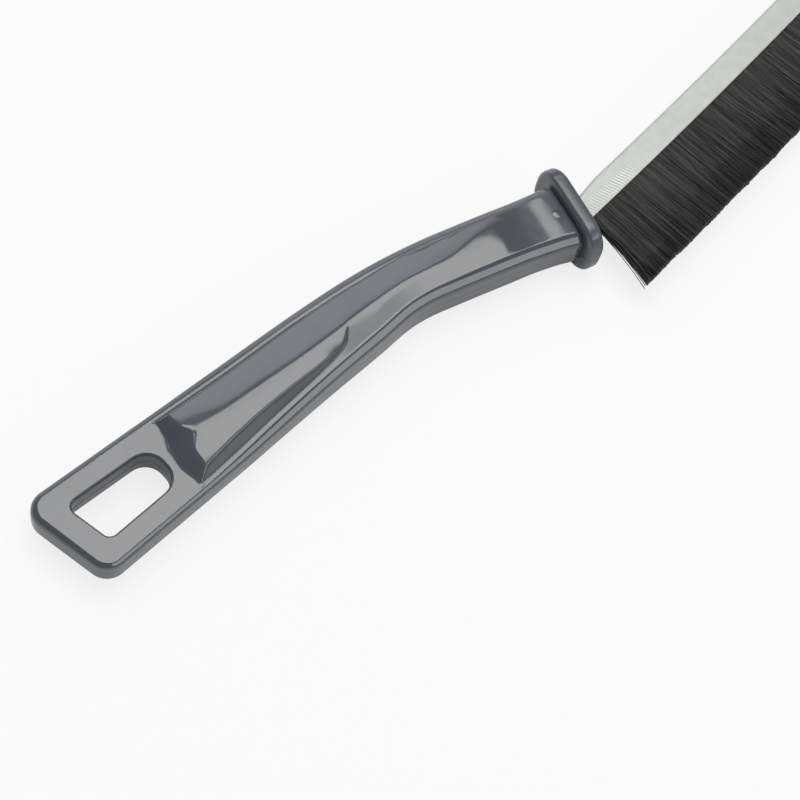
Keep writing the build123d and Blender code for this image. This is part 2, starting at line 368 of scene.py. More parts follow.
def stations():
    """Cross lines from the hole to the collar's fillet: place, centre, left and right outline points."""
    left, right, centre = handle_sides()
    travel = np.concatenate([[0], np.cumsum(np.linalg.norm(np.diff(centre, axis=0), axis=1))])
    end_reach = (neck_end[:2] - centre) @ neck_along[:2]
    last = travel[np.argmin(np.abs(end_reach))] - COLLAR_FILLET
    count = int((last - STATION_START) / STATION_SPACING)
    places = np.linspace(STATION_START, last, count + 1)

    def centre_at(spots):
        return np.stack([np.interp(spots, travel, centre[:, axis]) for axis in range(2)], axis=1)

    middles = centre_at(places)
    along = centre_at(places + LOOK_AHEAD) - centre_at(places - LOOK_AHEAD)
    along /= np.linalg.norm(along, axis=1)[:, None]
    lefts = np.array([crossing(left, middle, way) for middle, way in zip(middles, along)])
    rights = np.array([crossing(right, middle, way) for middle, way in zip(middles, along)])
    across = turned_left(along)
    lefts = lefts + across * clamped_curve(places, SIDE_PLACES, LEFT_SWELLS)[:, None]
    rights = rights - across * clamped_curve(places, SIDE_PLACES, RIGHT_SWELLS)[:, None]
    return places, middles, along, lefts, rights


def butt_outline():
    """From the left side round the butt to the right side, between the first stations."""
    half = side_half_width(STATION_START)
    corners = [
        (STATION_START, half + LEFT_SWELLS[0]),
        slanted_corner(BUTT_START, 0, 1) + (0, BUTT_SWELLS[0]),
        slanted_corner(BUTT_START, 0, -1) - (0, BUTT_SWELLS[1]),
        (STATION_START, -half - RIGHT_SWELLS[0]),
    ]
    return rounded_path(corners, [BUTT_CORNER_RADIUS, BUTT_CORNER_RADIUS], BUTT_SPACING)[1:-1]


def hole_outline(grow):
    """The hole's outline, grown outwards: a slanted butt end, sides that narrow and a round neck end."""
    end = HOLE_START + HOLE_LENGTH
    end_half = side_half_width(end) - HOLE_SIDE_MARGIN
    corners = np.array([
        slanted_corner(HOLE_START, HOLE_SIDE_MARGIN, -1),
        (end, -end_half),
        (end, end_half),
        slanted_corner(HOLE_START, HOLE_SIDE_MARGIN, 1),
    ]) + (0, HOLE_OFFSET)
    ways = np.roll(corners, -1, axis=0) - corners
    ways /= np.linalg.norm(ways, axis=1)[:, None]
    outward = np.stack([ways[:, 1], -ways[:, 0]], axis=1)
    butt_radius, neck_radius = HOLE_BUTT_CORNER_RADIUS, HOLE_NECK_CORNER_RADIUS
    radii = (butt_radius, neck_radius, neck_radius, butt_radius)
    points = []
    for corner, before, after, radius in zip(corners, np.roll(outward, 1, axis=0), outward, radii):
        centre = corner - (before + after) * radius / (1 + before @ after)
        first = np.arctan2(before[1], before[0])
        last = np.arctan2(after[1], after[0])
        last += 2 * pi * (last < first)
        for angle in np.linspace(first, last, HOLE_CORNER_POINTS):
            points.append(centre + (radius + grow) * np.array([cos(angle), sin(angle)]))
    return np.array(points)


def rim_profile(place, right_share):
    """Inset from the outline and height, from the parting line up over the rim to the flat face."""

    def side_value(left_values, right_values):
        left = clamped_curve(place, RIM_PLACES, left_values)
        return left + (clamped_curve(place, RIM_PLACES, right_values) - left) * right_share

    plate = clamped_curve(place, PLATE_PLACES, PLATE_HALVES)
    wall_radius = side_value(LEFT_WALL_RADII, RIGHT_WALL_RADII)
    steep = side_value(LEFT_STEEP_FACETS, RIGHT_STEEP_FACETS)
    shallow = side_value(LEFT_SHALLOW_FACETS, RIGHT_SHALLOW_FACETS)
    face_radius = clamped_curve(place, RIM_PLACES, RIM_FACE_RADII)
    path = [(0.0, 0.0)]

    def turn(radius, start, end, steps):
        foot = path[-1]
        for slope in np.linspace(start, end, steps + 1)[1:]:
            inset = foot[0] + radius * (sin(start) - sin(slope))
            path.append((inset, foot[1] + radius * (cos(slope) - cos(start))))

    def rise(run, slope):
        foot = path[-1]
        for share in FACET_SHARES:
            path.append((foot[0] + run * share, foot[1] + run * share * tan(slope)))

    turn(wall_radius, pi / 2, STEEP_SLOPE, WALL_ROUND_STEPS)
    rise(steep, STEEP_SLOPE)
    turn(face_radius, STEEP_SLOPE, SHALLOW_SLOPE, FACET_ROUND_STEPS)
    rise(shallow, SHALLOW_SLOPE)
    turn(face_radius, SHALLOW_SLOPE, 0.0, FACE_ROUND_STEPS)
    wall = plate - path[-1][1]
    rows = [
        (-PARTING_RIDGE, 0.0),
        (-PARTING_RIDGE * PARTING_RIDGE_SHARE, PARTING_BAND * PARTING_BAND_SHARE),
        (0.0, PARTING_BAND),
    ]
    for share in RIM_DRAFT_SHARES:
        rows.append((RIM_DRAFT * share, PARTING_BAND + (wall - PARTING_BAND) * share))
    rows += [(RIM_DRAFT + inset, wall + height) for inset, height in path]
    rows.append((RIM_DRAFT + path[-1][0] + RIM_FLAT, plate))
    return np.array(rows)


def crown_face(place, lateral, inside_left, inside_right):
    """Height of the upper face at a place along the handle and a signed distance from its centre line."""
    plate = clamped_curve(place, PLATE_PLACES, PLATE_HALVES)
    crest = clamped_curve(place, CROWN_PLACES, CROWN_HALVES)
    offset = lateral - clamped_curve(place, CREST_PLACES, CREST_SHIFTS)
    leftward = offset > 0
    fall, curve = (
        np.where(leftward, *(clamped_curve(place, FALL_PLACES, values) for values in sides))
        for sides in ((LEFT_FALLS, RIGHT_FALLS), (LEFT_CURVES, RIGHT_CURVES))
    )
    distance = np.sqrt(offset**2 + CREST_ROUNDING**2) - CREST_ROUNDING
    crown = crest - fall * distance - curve * distance**2
    left_ledge = clamped_curve(place, LEFT_LEDGE_PLACES, LEFT_LEDGES)
    left_flank = plate + LEFT_FLANK_SLOPE * (inside_left - left_ledge)
    right_ledge = clamped_curve(place, RIGHT_LEDGE_PLACES, RIGHT_LEDGES)
    right_flank = plate + RIGHT_FLANK_SLOPE * (inside_right - right_ledge)
    right_ramp = plate + clamped_curve(place, RIGHT_RAMP_PLACES, RIGHT_RAMP_SLOPES) * inside_right
    right_side = smooth_high(right_ramp, right_flank, RIGHT_FLANK_BLEND)
    foot = clamped_curve(lateral, NOSE_LATERALS, NOSE_FEET)
    nose = plate + clamped_curve(lateral, NOSE_LATERALS, NOSE_SLOPES) * (place - foot)
    raised = smooth_low(crown, smooth_low(left_flank, nose, BROW_BLEND), BROW_BLEND)
    foot_blend = clamped_curve(place, FOOT_PLACES, FOOT_BLENDS)
    right_share = np.clip((np.minimum(left_flank, nose) - right_side) / foot_blend, 0, 1)
    raised = smooth_low(raised, right_side, RIGHT_FLANK_BLEND)
    return smooth_high(plate, raised, foot_blend + (RIGHT_FOOT_BLEND - foot_blend) * right_share)


def rounded_plate(angle, half_width, half_depth, radius):
    """The point of a rounded plate's outline in a direction from its centre."""
    across, up = np.cos(angle), np.sin(angle)
    corner = (half_width - radius, half_depth - radius)
    side_reach = half_width / np.maximum(np.abs(across), TINY)
    top_reach = half_depth / np.maximum(np.abs(up), TINY)
    toward = np.abs(across) * corner[0] + np.abs(up) * corner[1]
    under_root = np.maximum(toward**2 - corner[0] ** 2 - corner[1] ** 2 + radius**2, 0)
    reach = toward + np.sqrt(under_root)
    reach = np.where(side_reach * np.abs(up) <= corner[1], side_reach, reach)
    reach = np.where(top_reach * np.abs(across) <= corner[0], top_reach, reach)
    return across * reach, up * reach


def make_handle():
    places, middles, along, lefts, rights = stations()
    butt = butt_outline()
    outline = np.vstack([lefts[::-1], butt, rights])
    outline_places = np.concatenate([places[::-1], np.maximum(butt[:, 0], 0), places])
    ahead = np.roll(outline, -1, axis=0) - np.roll(outline, 1, axis=0)
    ahead[0] = outline[1] - outline[0]
    ahead[-1] = outline[-1] - outline[-2]
    inward = turned_left(ahead / np.linalg.norm(ahead, axis=1)[:, None])
    last = len(places) - 1
    for index in range(last + 1):
        across = turned_left(along[index:index + 1])[0]
        inward[last - index] = -across
        inward[len(outline) - 1 - last + index] = across
    right_shares = np.clip(0.5 - outline[:, 1] / BUTT_WIDTH, 0, 1)
    right_shares[:last + 1] = 0
    right_shares[len(outline) - 1 - last:] = 1
    profiles = np.array([rim_profile(place, share) for place, share in zip(outline_places, right_shares)])
    rows = profiles.shape[1]
    rim = np.zeros((len(outline), rows, 3))
    rim[:, :, :2] = outline[:, None] + inward[:, None] * profiles[:, :, 0:1]
    rim[:, :, 2] = profiles[:, :, 1]

    shares = np.linspace(0, 1, ACROSS_STEPS + 1)
    shares = (shares - EDGE_CROWDING * np.sin(2 * pi * shares) / (2 * pi))[1:-1]
    across_rows = []
    for index in range(last + 1):
        from_left = rim[last - index, -1]
        from_right = rim[len(outline) - 1 - last + index, -1]
        line = from_left[None, :2] + (from_right - from_left)[None, :2] * shares[:, None]
        inside_left = np.linalg.norm(line - from_left[:2], axis=1)
        inside_right = np.linalg.norm(line - from_right[:2], axis=1)
        lateral = (line - middles[index]) @ turned_left(along[index:index + 1])[0]
        height = crown_face(places[index], lateral, inside_left, inside_right)
        across_rows.append(np.column_stack([line, height]))
    across_rows = np.array(across_rows)

    # The upper half's points, then the lower half's as their mirror, sharing the parting line
    upper = np.vstack([rim[:, 1:].reshape(-1, 3), across_rows.reshape(-1, 3)])
    hole_rows = hole_wall()
    hole_count = len(hole_rows[0])
    upper = np.vstack([upper] + hole_rows[:-1])
    parting = np.vstack([rim[:, 0], hole_rows[-1]])
    points = np.vstack([parting, upper, upper * (1, 1, -1)])
    half = len(upper)
    outline_count = len(outline)
    face_count = across_rows.shape[0] * across_rows.shape[1]

    def rim_id(index, row, lower):
        if row == 0:
            return index
        return len(parting) + half * lower + index * (rows - 1) + row - 1

    def face_id(station, step, lower):
        if step == 0:
            return rim_id(last - station, rows - 1, lower)
        if step == ACROSS_STEPS:
            return rim_id(outline_count - 1 - last + station, rows - 1, lower)
        start = len(parting) + half * lower + outline_count * (rows - 1)
        return start + station * (ACROSS_STEPS - 1) + step - 1

    def hole_id(index, row, lower):
        if row == len(hole_rows) - 1:
            return outline_count + index % hole_count
        start = len(parting) + half * lower + outline_count * (rows - 1) + face_count
        return start + row * hole_count + index % hole_count

    faces = []

    def add(corners, lower):
        faces.append(corners if not lower else corners[::-1])

    for lower in (0, 1):
        for index in range(outline_count - 1):
            for row in range(rows - 1):
                add([rim_id(index, row, lower), rim_id(index + 1, row, lower),
                     rim_id(index + 1, row + 1, lower), rim_id(index, row + 1, lower)], lower)
        for station in range(last):
            for step in range(ACROSS_STEPS):
                add([face_id(station, step, lower), face_id(station, step + 1, lower),
                     face_id(station + 1, step + 1, lower), face_id(station + 1, step, lower)], lower)
        for row in range(len(hole_rows) - 1):
            for index in range(hole_count):
                add([hole_id(index, row, lower), hole_id(index + 1, row, lower),
                     hole_id(index + 1, row + 1, lower), hole_id(index, row + 1, lower)], lower)
        ring = [rim_id(index, rows - 1, lower) for index in range(last, outline_count - last)]
        ring += [face_id(0, step, lower) for step in range(ACROSS_STEPS - 1, 0, -1)]
        hole_ring = [hole_id(index, 0, lower) for index in range(hole_count)]
        for corners in flat_triangles(points, ring, hole_ring):
            add(corners, lower)

    # The end section, walked as a closed loop, flares into the collar
    end_loop = [rim_id(0, row, 0) for row in range(rows)]
    end_loop += [face_id(last, step, 0) for step in range(1, ACROSS_STEPS)]
    end_loop += [rim_id(outline_count - 1, row, 0) for row in range(rows - 1, -1, -1)]
    end_loop += [rim_id(outline_count - 1, row, 1) for row in range(1, rows)]
    end_loop += [face_id(last, step, 1) for step in range(ACROSS_STEPS - 1, 0, -1)]
    end_loop += [rim_id(0, row, 1) for row in range(rows - 1, 0, -1)]
    extra, extra_faces = collar_rows(points, end_loop)
    points = np.vstack([points, extra])
    faces += extra_faces
    return new_mesh("handle_body", points, faces)


def hole_wall():
    """Rows of points from the flat face over the hole's rounded edge to the parting line."""
    top = PLATE_HALVES[0]
    edge = HOLE_EDGE_ROUNDING
    profile = [(edge + RIM_FLAT + HOLE_EDGE_STEP, top), (edge + HOLE_EDGE_STEP, top)]
    for angle in np.linspace(0, pi / 2, HOLE_EDGE_POINTS):
        profile.append((edge * (1 - sin(angle)) + HOLE_EDGE_STEP, top - edge * (1 - cos(angle))))
    for grow, share in zip(HOLE_STEP_GROWTHS, HOLE_STEP_SHARES):
        profile.append((grow, top - edge - share * HOLE_EDGE_STEP))
    rows = []
    for grow, height in (*profile, *HOLE_WALL):
        flat = hole_outline(grow)
        rows.append(np.column_stack([flat, np.full(len(flat), height)]))
    return rows


def flat_triangles(points, ring, hole_ring):
    """Triangles between a closed ring of points and a hole's ring inside it."""
    ids = ring + hole_ring
    flat = [Vector(points[index][:2]) for index in ids]
    outer = list(range(len(ring)))
    inner = list(range(len(ring), len(ids)))
    edges = list(zip(outer, outer[1:] + outer[:1])) + list(zip(inner, inner[1:] + inner[:1]))
    made = delaunay_2d_cdt(flat, edges, [], 0, MERGE_DISTANCE)
    kept = []
    hole_points = [Vector(points[index][:2]) for index in hole_ring]
    ring_points = [Vector(points[index][:2]) for index in ring]
    for triangle in made[2]:
        middle = sum((made[0][corner] for corner in triangle), Vector((0, 0))) / 3
        if inside(middle, ring_points) and not inside(middle, hole_points):
            kept.append([ids[made[3][corner][0]] for corner in triangle])
    return kept


def inside(point, ring):
    """Whether a point lies inside a closed ring."""
    odd = False
    for first, second in zip(ring, ring[1:] + ring[:1]):
        if (first.y > point.y) != (second.y > point.y):
            if point.x < first.x + (second.x - first.x) * (point.y - first.y) / (second.y - first.y):
                odd = not odd
    return odd


def collar_rows(points, loop):
    """The fillet, the collar and its socket, as rows that follow the neck's end section."""
    section = points[loop]
    across = (section - neck_end) @ neck_left
    up = section[:, 2]
    ahead = np.column_stack([np.roll(across, -1) - np.roll(across, 1), np.roll(up, -1) - np.roll(up, 1)])
    ahead /= np.linalg.norm(ahead, axis=1)[:, None]
    outward = turned_left(ahead)
    rows = []
    for turn in np.linspace(0, pi / 2, COLLAR_FILLET_POINTS)[1:]:
        grow = COLLAR_FILLET * (1 - cos(turn))
        behind = -COLLAR_FILLET * (1 - sin(turn))
        rows.append((across + outward[:, 0] * grow, up + outward[:, 1] * grow, behind))
    base_across, base_up = rows[-1][0], rows[-1][1]
    angle = np.arctan2(base_up / COLLAR_DEPTH, base_across / COLLAR_WIDTH)
    true_angle = np.arctan2(np.sin(angle) * COLLAR_DEPTH, np.cos(angle) * COLLAR_WIDTH)

    def rim(inset):
        return rounded_plate(
            true_angle, COLLAR_WIDTH / 2 - inset, COLLAR_DEPTH / 2 - inset, COLLAR_CORNER_RADIUS - inset
        )

    def between(start, end, share, forward):
        steps = [low + (high - low) * share for low, high in zip(start, end)]
        rows.append((*steps, forward))

    face = rim(COLLAR_ROUNDING)
    for share in COLLAR_BACK_SHARES:
        between((base_across, base_up), face, share, 0.0)
    turns = np.linspace(0, pi / 2, COLLAR_ROUND_POINTS)
    for turn in turns:
        edge_across, edge_up = rim(COLLAR_ROUNDING * (1 - sin(turn)))
        rows.append((edge_across, edge_up, COLLAR_ROUNDING * (1 - cos(turn))))
    for turn in turns[::-1]:
        edge_across, edge_up = rim(COLLAR_ROUNDING * (1 - sin(turn)))
        rows.append((edge_across, edge_up, COLLAR_THICKNESS - COLLAR_ROUNDING * (1 - cos(turn))))
    socket_halves = (CHANNEL_HEIGHT / 2 + SOCKET_CLEARANCE, CHANNEL_THICKNESS / 2 + SOCKET_CLEARANCE)
    socket = rounded_plate(true_angle, *socket_halves, SOCKET_CLEARANCE)
    for share in COLLAR_FRONT_SHARES:
        between(face, socket, share, COLLAR_THICKNESS)
    for depth in SOCKET_DEPTHS:
        rows.append((socket[0], socket[1], COLLAR_THICKNESS - depth))
    extra = []
    for row_across, row_up, forward in rows:
        spots = neck_end + np.outer(row_across, neck_left)
        spots = spots + np.outer(np.full(len(loop), forward), neck_along)
        spots[:, 2] = row_up
        extra.append(spots)
    count = len(loop)
    faces = []
    ids = [list(loop)] + [
        [len(points) + row * count + index for index in range(count)] for row in range(len(rows))
    ]
    for near, far in zip(ids, ids[1:]):
        for index in range(count):
            after = (index + 1) % count
            faces.append([near[index], near[after], far[after], far[index]])
    faces.append(ids[-1])
    return np.vstack(extra), faces


# Lines of the head: it bends out of the collar and then follows one long arc
collar_front = neck_end + neck_along * COLLAR_THICKNESS
tang_bend = radians(HEAD_START_ANGLE) + NECK_DROP
bend_run = TANG_BEND_RADIUS * tan(tang_bend / 2)
head_curve = radians(HEAD_END_ANGLE - HEAD_START_ANGLE)
head_radius = HEAD_LENGTH / head_curve
head_forward = np.array([cos(radians(HEAD_START_ANGLE)), sin(radians(HEAD_START_ANGLE)), 0])
head_start = collar_front + head_forward * bend_run


def head_point(run, shift, height=0.0):
    """Places along the head, shifted towards the bristles. A negative run bends back into the neck."""
    run = np.atleast_1d(np.asarray(run, float))
    start = radians(HEAD_START_ANGLE)
    turned = start + head_curve * np.maximum(run, 0) / HEAD_LENGTH
    spots = np.zeros((len(run), 3))
    spots[:, 0] = head_start[0] + head_radius * (np.sin(turned) - sin(start))
    spots[:, 1] = head_start[1] + head_radius * (cos(start) - np.cos(turned))
    back = np.minimum(run, 0)
    bend_length = TANG_BEND_RADIUS * tang_bend
    bent = np.maximum(back, -bend_length) / TANG_BEND_RADIUS
    rest = np.minimum(back + bend_length, 0)
    turned = turned + bent
    spots[:, 0] += TANG_BEND_RADIUS * (np.sin(start + bent) - sin(start)) + rest * np.cos(start + bent)
    spots[:, 1] += TANG_BEND_RADIUS * (cos(start) - np.cos(start + bent)) + rest * np.sin(start + bent)
    spots[:, 0] += np.sin(turned) * shift
    spots[:, 1] -= np.cos(turned) * shift
    spots[:, 2] = height
    return spots


def tube_faces(rows, count):
    """Faces of a tube of closed rings: the quads between them and its two ends."""
    faces = []
    for row in range(rows - 1):
        near, far = row * count, (row + 1) * count
        for index in range(count):
            after = (index + 1) % count
            faces.append([near + index, far + index, far + after, near + after])
    faces.append(list(range(count)))
    faces.append([(rows - 1) * count + index for index in range(count)][::-1])
    return faces


# Channel: its run back into the neck, and the points of its section
CHANNEL_BACK_RUN = 9.0
LIP_POINTS = 4
SIDE_POINTS = 25
FOLD_POINTS = 9
INNER_CORNER_SHARE = 0.7
INNER_CORNER_RUN = 0.4
SKIN_DEPTH = 0.01

# Crimps across the strip beside the collar: where they start and stop across it, and along it the share
# of their reach in which they are deepest, and how far they slant
CRIMP_PITCH = 0.95
CRIMP_DEPTH = 0.2
CRIMP_REACH = 25.0
CRIMP_FULL_SHARE = 0.35
CRIMP_SLANT = 0.35
CRIMP_START = 0.2
CRIMP_START_BLEND = 0.8
CRIMP_LIP_GAP = 0.25
CRIMP_LIP_BLEND = 0.3
CRIMP_MARGIN = 6.0
CRIMPED_SPACING = 0.16
PLAIN_SPACING = 0.3

# The strip is pinched beside the collar
PINCH_PLACES = (-2.0, 12.0)
PINCHED_HEIGHT = 6.7


def channel_section():
    """Points round the folded strip's section: shift towards the bristles, and height off the mid plane."""
    half, thick = CHANNEL_HEIGHT / 2, CHANNEL_THICKNESS / 2
    outer = []
    lip = SHEET_THICKNESS / 2
    for angle in np.linspace(0, pi / 2, LIP_POINTS):
        outer.append((half - lip + lip * cos(angle), thick - lip + lip * sin(angle)))
    for share in np.linspace(0, 1, SIDE_POINTS)[1:-1]:
        outer.append((half - lip + (FOLD_RADIUS - 2 * half + lip) * share, thick))
    for angle in np.linspace(pi / 2, pi, FOLD_POINTS):
        shift = FOLD_RADIUS - half + FOLD_RADIUS * cos(angle)
        outer.append((shift, thick - FOLD_RADIUS + FOLD_RADIUS * sin(angle)))
    inner_thick = thick - SHEET_THICKNESS
    inner = [
        (SHEET_THICKNESS - half, 0.0),
        (SHEET_THICKNESS - half, inner_thick * INNER_CORNER_SHARE),
        (SHEET_THICKNESS + INNER_CORNER_RUN - half, inner_thick),
        (0.0, inner_thick),
        (half - lip, inner_thick),
    ]
    upper = np.array(inner + outer)
    lower = upper[::-1] * (1, -1)
    return np.vstack([upper, lower[1:-1]])


def make_channel():
    """The folded strip, from inside the collar to the toe."""
    crimped_end = CRIMP_REACH + CRIMP_MARGIN
    crimped = np.arange(-CHANNEL_BACK_RUN, crimped_end, CRIMPED_SPACING)
    plain = np.arange(crimped_end, HEAD_LENGTH + SKIN_DEPTH, PLAIN_SPACING)
    runs = np.concatenate([crimped, plain[:-1], [HEAD_LENGTH]])
    section = channel_section()
    half = CHANNEL_HEIGHT / 2
    points = []
    for run in runs:
        shift, height = section[:, 0].copy(), section[:, 1].copy()
        widen = clamped_curve(run, PINCH_PLACES, (0.0, 1.0))
        tall = PINCHED_HEIGHT + (CHANNEL_HEIGHT - PINCHED_HEIGHT) * widen
        shift = half + (shift - half) * tall / CHANNEL_HEIGHT
        past_start = np.clip((shift + CRIMP_START) / CRIMP_START_BLEND, 0, 1)
        before_lip = np.clip((half - CRIMP_LIP_GAP - shift) / CRIMP_LIP_BLEND, 0, 1)
        mouth_side = past_start * before_lip
        fade = clamped_curve(run, (CRIMP_REACH * CRIMP_FULL_SHARE, CRIMP_REACH), (1.0, 0.0))
        wave = 0.5 + 0.5 * np.cos(2 * pi * (run - CRIMP_SLANT * shift) / CRIMP_PITCH)
        outer = np.abs(section[:, 1]) > CHANNEL_THICKNESS / 2 - SHEET_THICKNESS + SKIN_DEPTH
        height = height - np.sign(height) * outer * mouth_side * fade * CRIMP_DEPTH * wave**2
        points.append(head_point(np.full(len(shift), run), shift, height))
    return new_mesh("channel_shell", np.vstack(points), tube_faces(len(runs), len(section)))


def make_pin():
    """A pin whose domed ends stand just proud of both faces of the neck."""
    top = clamped_curve(WAIST_PLACE + NECK_LENGTH - PIN_SETBACK, PLATE_PLACES, PLATE_HALVES) + PIN_DOME
    radius = PIN_DIAMETER / 2
    profile = [(radius, 0.0), (radius, top - PIN_SHOULDER)]
    for turn in np.linspace(0, 1, PIN_EDGE_POINTS)[1:]:
        inset = PIN_EDGE_INSET * (1 - cos(turn * pi / 2))
        profile.append((radius - inset, top - PIN_SHOULDER + PIN_EDGE_RISE * sin(turn * pi / 2)))
    for share in PIN_CAP_SHARES:
        profile.append((radius * share, top - PIN_CAP_FALL * share))
    angles = np.linspace(0, 2 * pi, PIN_SIDES, endpoint=False)
    rings = profile[::-1] + [(reach, -height) for reach, height in profile[1:]]
    points = []
    for reach, height in rings:
        ring = np.column_stack([reach * np.cos(angles), reach * np.sin(angles), np.full(PIN_SIDES, height)])
        ring[:, :2] = pin_point[:2] + ring[:, :2]
        points.append(ring)
    return new_mesh("pin", np.vstack(points), tube_faces(len(rings), PIN_SIDES))


def wander(rng, places, length, size):
    """A smooth random curve over places, with about one turn per length."""
    knots = np.arange(places.min() - length, places.max() + 2 * length, length)
    values = rng.normal(0, size, len(knots))
    share = (places - knots[0]) / length
    first = np.floor(share).astype(int)
    share = share - first
    ease = share * share * (3 - 2 * share)
    return values[first] * (1 - ease) + values[first + 1] * ease


def wanders(rng, places, waves):
    """Several wanders over places, added up."""
    return sum(wander(rng, places, length, size) for length, size in waves)


def make_bristles():
    """The filaments: curved back at the heel, and nearly straight along the rest of the head."""
    rng = np.random.default_rng(BRISTLE_SEED)
    first, last = PACK_HEEL_START, HEAD_LENGTH - PACK_TOE_GAP
    columns = np.linspace(first + COLUMN_MARGIN, last - COLUMN_MARGIN, FILAMENT_COLUMNS)
    columns = columns + wanders(rng, columns, COLUMN_WANDERS)
    lean = wanders(rng, columns, LEAN_WANDERS)
    curl = wanders(rng, columns, CURL_WANDERS)
    trim = wanders(rng, columns, TRIM_WANDERS)
    heel_count = int(np.sum(columns < first + HEEL_LENGTH))
    points, faces = [], []
    start = 0
    for part, shares in ((slice(0, heel_count), HEEL_SHARES), (slice(heel_count, None), STRAIGHT_SHARES)):
        lines = filament_lines(rng, columns[part], lean[part], curl[part], trim[part], shares)
        part_points, part_faces = filament_tubes(rng, lines)
        points.append(part_points)
        faces += [(face + start).tolist() for face in part_faces]
        start += len(part_points)
    flat_faces = [corners for group in faces for corners in group]
    return new_mesh("bristle_filaments", np.vstack(points), flat_faces)


def filament_lines(rng, columns, lean, curl, trim, shares):
    """The centre lines of a stretch of filaments, as points from the fold out to the tips."""
    half = CHANNEL_HEIGHT / 2
    radius = FILAMENT_DIAMETER / 2
    count = len(columns)
    heel = np.maximum(0, 1 - (columns - PACK_HEEL_START) / HEEL_LENGTH)
    sweep = HEEL_SWEEP * heel**2
    rows = []
    for row in range(FILAMENT_ROWS):
        level = 2 * (row + 0.5) / FILAMENT_ROWS - 1
        run = columns + rng.normal(0, RUN_SCATTER, count) * (1 + HEEL_STRAGGLE * heel**2)
        tilt = np.radians(lean + rng.normal(0, LEAN_SCATTER, count) * (1 + HEEL_STRAGGLE * heel**4))
        splay = np.radians(FAN_ANGLE * level + rng.normal(0, FAN_SCATTER, count))
        depth = level * (PACK_HALF_THICKNESS - radius) + rng.normal(0, DEPTH_SCATTER, count)
        depth = np.clip(depth, -PACK_HALF_THICKNESS, PACK_HALF_THICKNESS)
        packed = np.sign(level) * (FOLD_HALF_THICKNESS + FOLD_GROWTH * abs(level))
        length = BRISTLE_LENGTH + trim + rng.normal(0, TRIM_SCATTER, count)
        heading = radians(HEAD_START_ANGLE) + head_curve * run / HEAD_LENGTH
        forward = np.column_stack([np.cos(heading), np.sin(heading), np.zeros(count)])
        outward = np.column_stack([np.sin(heading), -np.cos(heading), np.zeros(count)])
        spots = [head_point(run, -half + FOLD_START), head_point(run, 0.0), head_point(run, half)]
        spots[0][:, 2] = packed
        spots[1][:, 2] = packed
        spots[2][:, 2] = depth
        for share in shares:
            out = length * share
            bend = (curl + rng.normal(0, CURL_SCATTER, count)) * share * share
            bend = bend - sweep * HEEL_ROOT_SHARE * (1 - np.exp(-out / HEEL_SWEEP_RUN))
            bend = bend - sweep * (1 - HEEL_ROOT_SHARE) * share**2
            spot = spots[2] + outward * out[:, None] + forward * (np.tan(tilt) * out + bend)[:, None]
            spot[:, 2] = depth + np.tan(splay) * out
            spots.append(spot)
        rows.append(np.stack(spots, axis=1))
    return np.vstack(rows)


def filament_tubes(rng, lines):
    """Three-sided tubes along lines, closed at their tips."""
    radius = FILAMENT_DIAMETER / 2
    sides = FILAMENT_SIDES
    count, steps = lines.shape[0], lines.shape[1]
    along = np.zeros_like(lines)
    along[:, 1:-1] = lines[:, 2:] - lines[:, :-2]
    along[:, 0] = lines[:, 1] - lines[:, 0]
    along[:, -1] = lines[:, -1] - lines[:, -2]
    along /= np.linalg.norm(along, axis=2)[:, :, None]
    up = np.array([0, 0, 1.0])
    side = np.cross(along, up)
    side /= np.linalg.norm(side, axis=2)[:, :, None]
    lift = np.cross(side, along)
    turn = rng.uniform(0, 2 * pi, count)
    points = np.zeros((count, steps, sides, 3))
    for corner in range(sides):
        angle = turn + 2 * pi * corner / sides
        points[:, :, corner] = lines + radius * (
            side * np.cos(angle)[:, None, None] + lift * np.sin(angle)[:, None, None]
        )
    flat = points.reshape(-1, 3)
    base = (np.arange(count) * steps * sides)[:, None]
    faces = []
    for step in range(steps - 1):
        for corner in range(sides):
            after = (corner + 1) % sides
            quad = base + np.array([step * sides + corner, step * sides + after,
                                    (step + 1) * sides + after, (step + 1) * sides + corner])
            faces.append(quad)
    tips = base + np.array([(steps - 1) * sides + corner for corner in range(sides)])
    return flat, [np.vstack(faces), tips]


# Materials: a tint's two stops with their colours, low and high roughness, and strength and depth of a bump
NOISE_DETAIL = 3.0
NOISE_ROUGHNESS = 0.5
PLASTIC_TINTS = ((0.3, (0.073, 0.082, 0.094)), (0.7, (0.081, 0.09, 0.104)))
PLASTIC_TINT_SCALE = 90.0
PLASTIC_GRAIN_SCALE = 420.0
PLASTIC_ROUGHNESS = (0.07, 0.16)
PLASTIC_IOR = 1.7
PLASTIC_SWELL_SCALE = 160.0
PLASTIC_SWELL_DETAIL = 2.0
PLASTIC_BUMP = (0.05, 0.0006)
COLLAR_EXTRA_ROUGHNESS = 0.16
ZINC_TINTS = ((0.3, (0.51, 0.54, 0.52)), (0.7, (0.57, 0.6, 0.58)))
ZINC_TINT_SCALE = 260.0
ZINC_METALLIC = 0.25
ZINC_GRAIN_SCALE = 900.0
ZINC_ROUGHNESS = (0.34, 0.5)
ZINC_BUMP = (0.15, 0.0001)
# Nylon's paler stop gives streaks that are partly a random tone and partly painted sheen along the
# filaments
NYLON_TONES_AND_SHEEN = ((0.35, (0.012, 0.012, 0.012)), (0.68, (0.07, 0.068, 0.067)))
NYLON_GRAIN_SCALE = 2000.0
NYLON_ROUGHNESS = (0.3, 0.5)
STREAK_SCALE = 900.0
STREAK_STRETCH = (1.0, 0.06, 1.0)
WIRE_TINTS = ((0.3, (0.5, 0.5, 0.5)), (0.7, (0.62, 0.62, 0.62)))
WIRE_TINT_SCALE = 700.0
WIRE_ROUGHNESS = (0.3, 0.45)


def cleared_tree(holder):
    """The emptied node tree of a material or a world."""
    holder.use_nodes = True
    holder.node_tree.nodes.clear()
    return holder.node_tree


